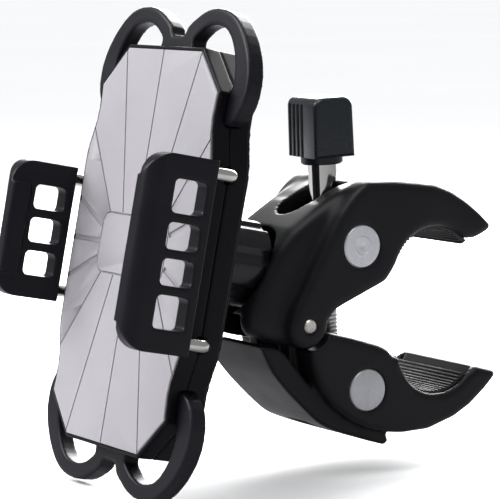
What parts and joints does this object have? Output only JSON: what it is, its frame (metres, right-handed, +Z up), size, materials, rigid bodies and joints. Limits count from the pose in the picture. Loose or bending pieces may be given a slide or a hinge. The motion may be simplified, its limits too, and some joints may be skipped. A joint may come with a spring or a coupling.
{
  "type": "phone mount",
  "caption": "Bicycle phone mount: screw-closed bar clamp, ball joint with ring nut, and spring cradle with sliding jaws and stretch bands.",
  "frame": {"origin": "on the axis of the handlebar that the lower jaw holds, at the middle of the jaw's width", "axes": "+X along the handlebar, towards the right of someone who faces the phone; the cradle faces -Y and the clamp opens towards +Y; +Z up"},
  "size_m": [0.073, 0.1235, 0.1197],
  "materials": {
    "casting": "fine matte black, soft sheen",
    "grip_rubber": "ribbed black rubber",
    "knob_plastic": "satin black plastic",
    "steel": "polished stainless steel",
    "screw_steel": "plated steel",
    "turned_aluminium": "lathe-turned face, fine rings",
    "black_plastic": "fine matte black",
    "jaw_plastic": "soft matte black",
    "pad_rubber": "satin light grey rubber",
    "band_silicone": "matte black silicone",
    "acetal": "natural white plastic"
  },
  "bodies": {
    "lower_clamp": {"lower_jaw": "casting", "lower_liner": "grip_rubber", "hinge_pin": "steel"},
    "upper_clamp": {"upper_jaw": "casting", "upper_liner": "grip_rubber", "ball_stud": "black_plastic", "stud_nut": "screw_steel"},
    "upper_pivot": {"upper_pivot_bar": "turned_aluminium"},
    "lower_pivot": {"lower_pivot_bar": "turned_aluminium"},
    "screw": {"clamp_screw": "screw_steel", "spacer_sleeve": "steel", "retaining_ring": "screw_steel", "knob": "knob_plastic"},
    "ball_swivel": {"friction_cup": "acetal"},
    "ball_rocker": {"spring_cup": "screw_steel"},
    "cradle": {"ball_socket": "black_plastic", "socket_screws": "screw_steel", "rear_shell": "black_plastic", "front_shell": "black_plastic", "shell_screws": "screw_steel", "pad": "pad_rubber", "upper_band": "band_silicone", "lower_band": "band_silicone", "pinion_axle": "screw_steel", "return_springs": "screw_steel"},
    "nut": {"ring_nut": "black_plastic"},
    "right_arm": {"right_jaw": "jaw_plastic", "right_rods": "steel", "right_rack": "acetal"},
    "left_arm": {"left_jaw": "jaw_plastic", "left_rods": "steel", "left_rack": "acetal"},
    "gear": {"pinion": "acetal"}
  },
  "joints": [
    {"name": "clamp_hinge", "type": "hinge", "parent": "lower_clamp", "child": "upper_clamp", "pos_m": [0, -0.04, 0.008], "axis": [-1, 0, 0], "range_deg": [0, 25]},
    {"name": "upper_pivot_turn", "type": "hinge", "parent": "upper_clamp", "child": "upper_pivot", "pos_m": [0, -0.02416, 0.02735], "axis": [-1, 0, 0], "range_deg": [-12.5, 0]},
    {"name": "lower_pivot_turn", "type": "hinge", "parent": "lower_clamp", "child": "lower_pivot", "pos_m": [0, -0.02232, -0.00968], "axis": [-1, 0, 0], "range_deg": [0, 12.5]},
    {"name": "knob_turn", "type": "hinge", "parent": "upper_pivot", "child": "screw", "pos_m": [0, -0.02416, 0.02735], "axis": [0, 0.0497, -0.9988], "range_deg": [0, 2350]},
    {"name": "ball_swing", "type": "hinge", "parent": "upper_clamp", "child": "ball_swivel", "pos_m": [0, -0.05009, 0.02299], "axis": [0, 0.1908, 0.9816], "range_deg": [-15, 15]},
    {"name": "ball_tilt", "type": "hinge", "parent": "ball_swivel", "child": "ball_rocker", "pos_m": [0, -0.05009, 0.02299], "axis": [1, 0, 0], "range_deg": [-15, 15]},
    {"name": "cradle_spin", "type": "hinge", "parent": "ball_rocker", "child": "cradle", "pos_m": [0, -0.05009, 0.02299], "axis": [0, -0.9816, 0.1908], "continuous": true},
    {"name": "nut_turn", "type": "hinge", "parent": "cradle", "child": "nut", "pos_m": [0, -0.05009, 0.02299], "axis": [0, -0.9816, 0.1908], "range_deg": [0, 180]},
    {"name": "right_jaw_slide", "type": "slide", "parent": "cradle", "child": "right_arm", "axis": [1, 0, 0], "range_m": [0, 0.02], "stiffness_N_per_m": 80, "springref_m": -0.02},
    {"name": "left_jaw_slide", "type": "slide", "parent": "cradle", "child": "left_arm", "axis": [-1, 0, 0], "range_m": [0, 0.02]},
    {"name": "pinion_spin", "type": "hinge", "parent": "cradle", "child": "gear", "pos_m": [0, -0.0815, 0.0291], "axis": [0, -0.9816, 0.1908], "range_deg": [-230, 0]}
  ],
  "couplings": [
    {"joint": "upper_pivot_turn", "follows": "clamp_hinge", "ratio": -0.5},
    {"joint": "lower_pivot_turn", "follows": "clamp_hinge", "ratio": 0.5},
    {"joint": "knob_turn", "follows": "clamp_hinge", "ratio": 94},
    {"joint": "left_jaw_slide", "follows": "right_jaw_slide", "ratio": 1},
    {"joint": "pinion_spin", "follows": "right_jaw_slide", "rad_per_m": -200}
  ]
}
